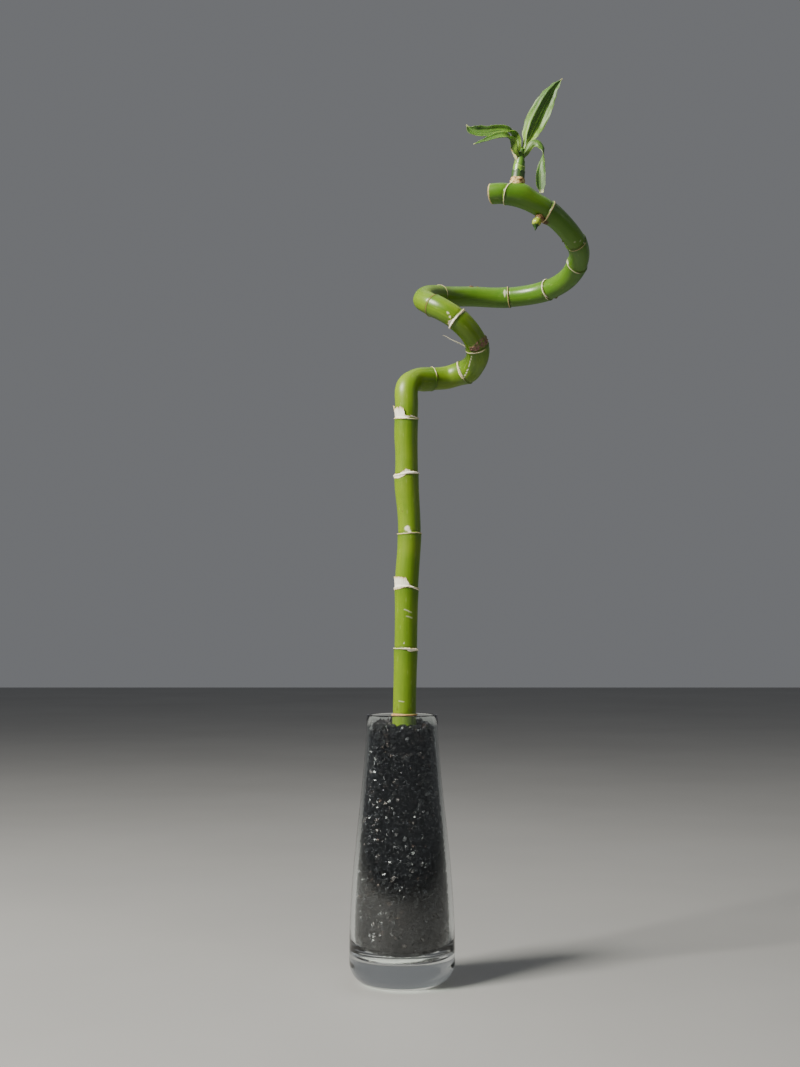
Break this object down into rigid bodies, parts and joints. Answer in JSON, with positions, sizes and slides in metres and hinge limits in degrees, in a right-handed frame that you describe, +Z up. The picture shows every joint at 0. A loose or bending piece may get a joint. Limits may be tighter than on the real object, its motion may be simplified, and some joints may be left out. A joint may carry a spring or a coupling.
{
  "type": "lucky bamboo",
  "caption": "Spiral lucky bamboo cane with a leafy side shoot, rooted in black gravel in a tapered clear glass vase.",
  "frame": {"origin": "centre of the vase's flat foot, on the surface that the vase stands on", "axes": "+Z up along the vase's axis; -Y is the front; the coil of the cane swings out towards +X"},
  "size_m": [0.1841, 0.1389, 0.6737],
  "materials": {
    "glass": "clear, polished",
    "gravel": "crushed, glossy facets",
    "cane": "smooth waxy living cane",
    "leaf": "satin living leaf",
    "dry_sheath": "dry, matt",
    "root": "matt"
  },
  "bodies": {
    "root": {"cane": "cane", "dry_strand": "dry_sheath", "glass_vase": "glass", "gravel_bed": "gravel", "gravel_chip_01": "gravel", "gravel_chip_02": "gravel", "gravel_chip_03": "gravel", "gravel_chip_04": "gravel", "gravel_chip_05": "gravel", "gravel_chip_06": "gravel", "gravel_chip_07": "gravel", "gravel_chip_08": "gravel", "gravel_chip_09": "gravel", "gravel_chip_10": "gravel", "gravel_chip_11": "gravel", "gravel_chip_12": "gravel", "leaf_bract": "leaf", "leaf_left_lower": "leaf", "leaf_left_upper": "leaf", "leaf_right": "leaf", "leaf_upright": "leaf", "root_1": "root", "root_2": "root", "root_3": "root", "root_4": "root", "root_5": "root", "root_6": "root", "sheath_scale_broad": "dry_sheath", "sheath_scale_coil_high": "dry_sheath", "sheath_scale_coil_low": "dry_sheath", "sheath_scale_coil_mid": "dry_sheath", "sheath_scale_low": "dry_sheath", "sheath_scale_pointed": "dry_sheath", "sheath_scale_rim": "dry_sheath", "sheath_scale_wavy": "dry_sheath", "side_bud": "leaf", "side_shoot": "cane"}
  },
  "joints": []
}
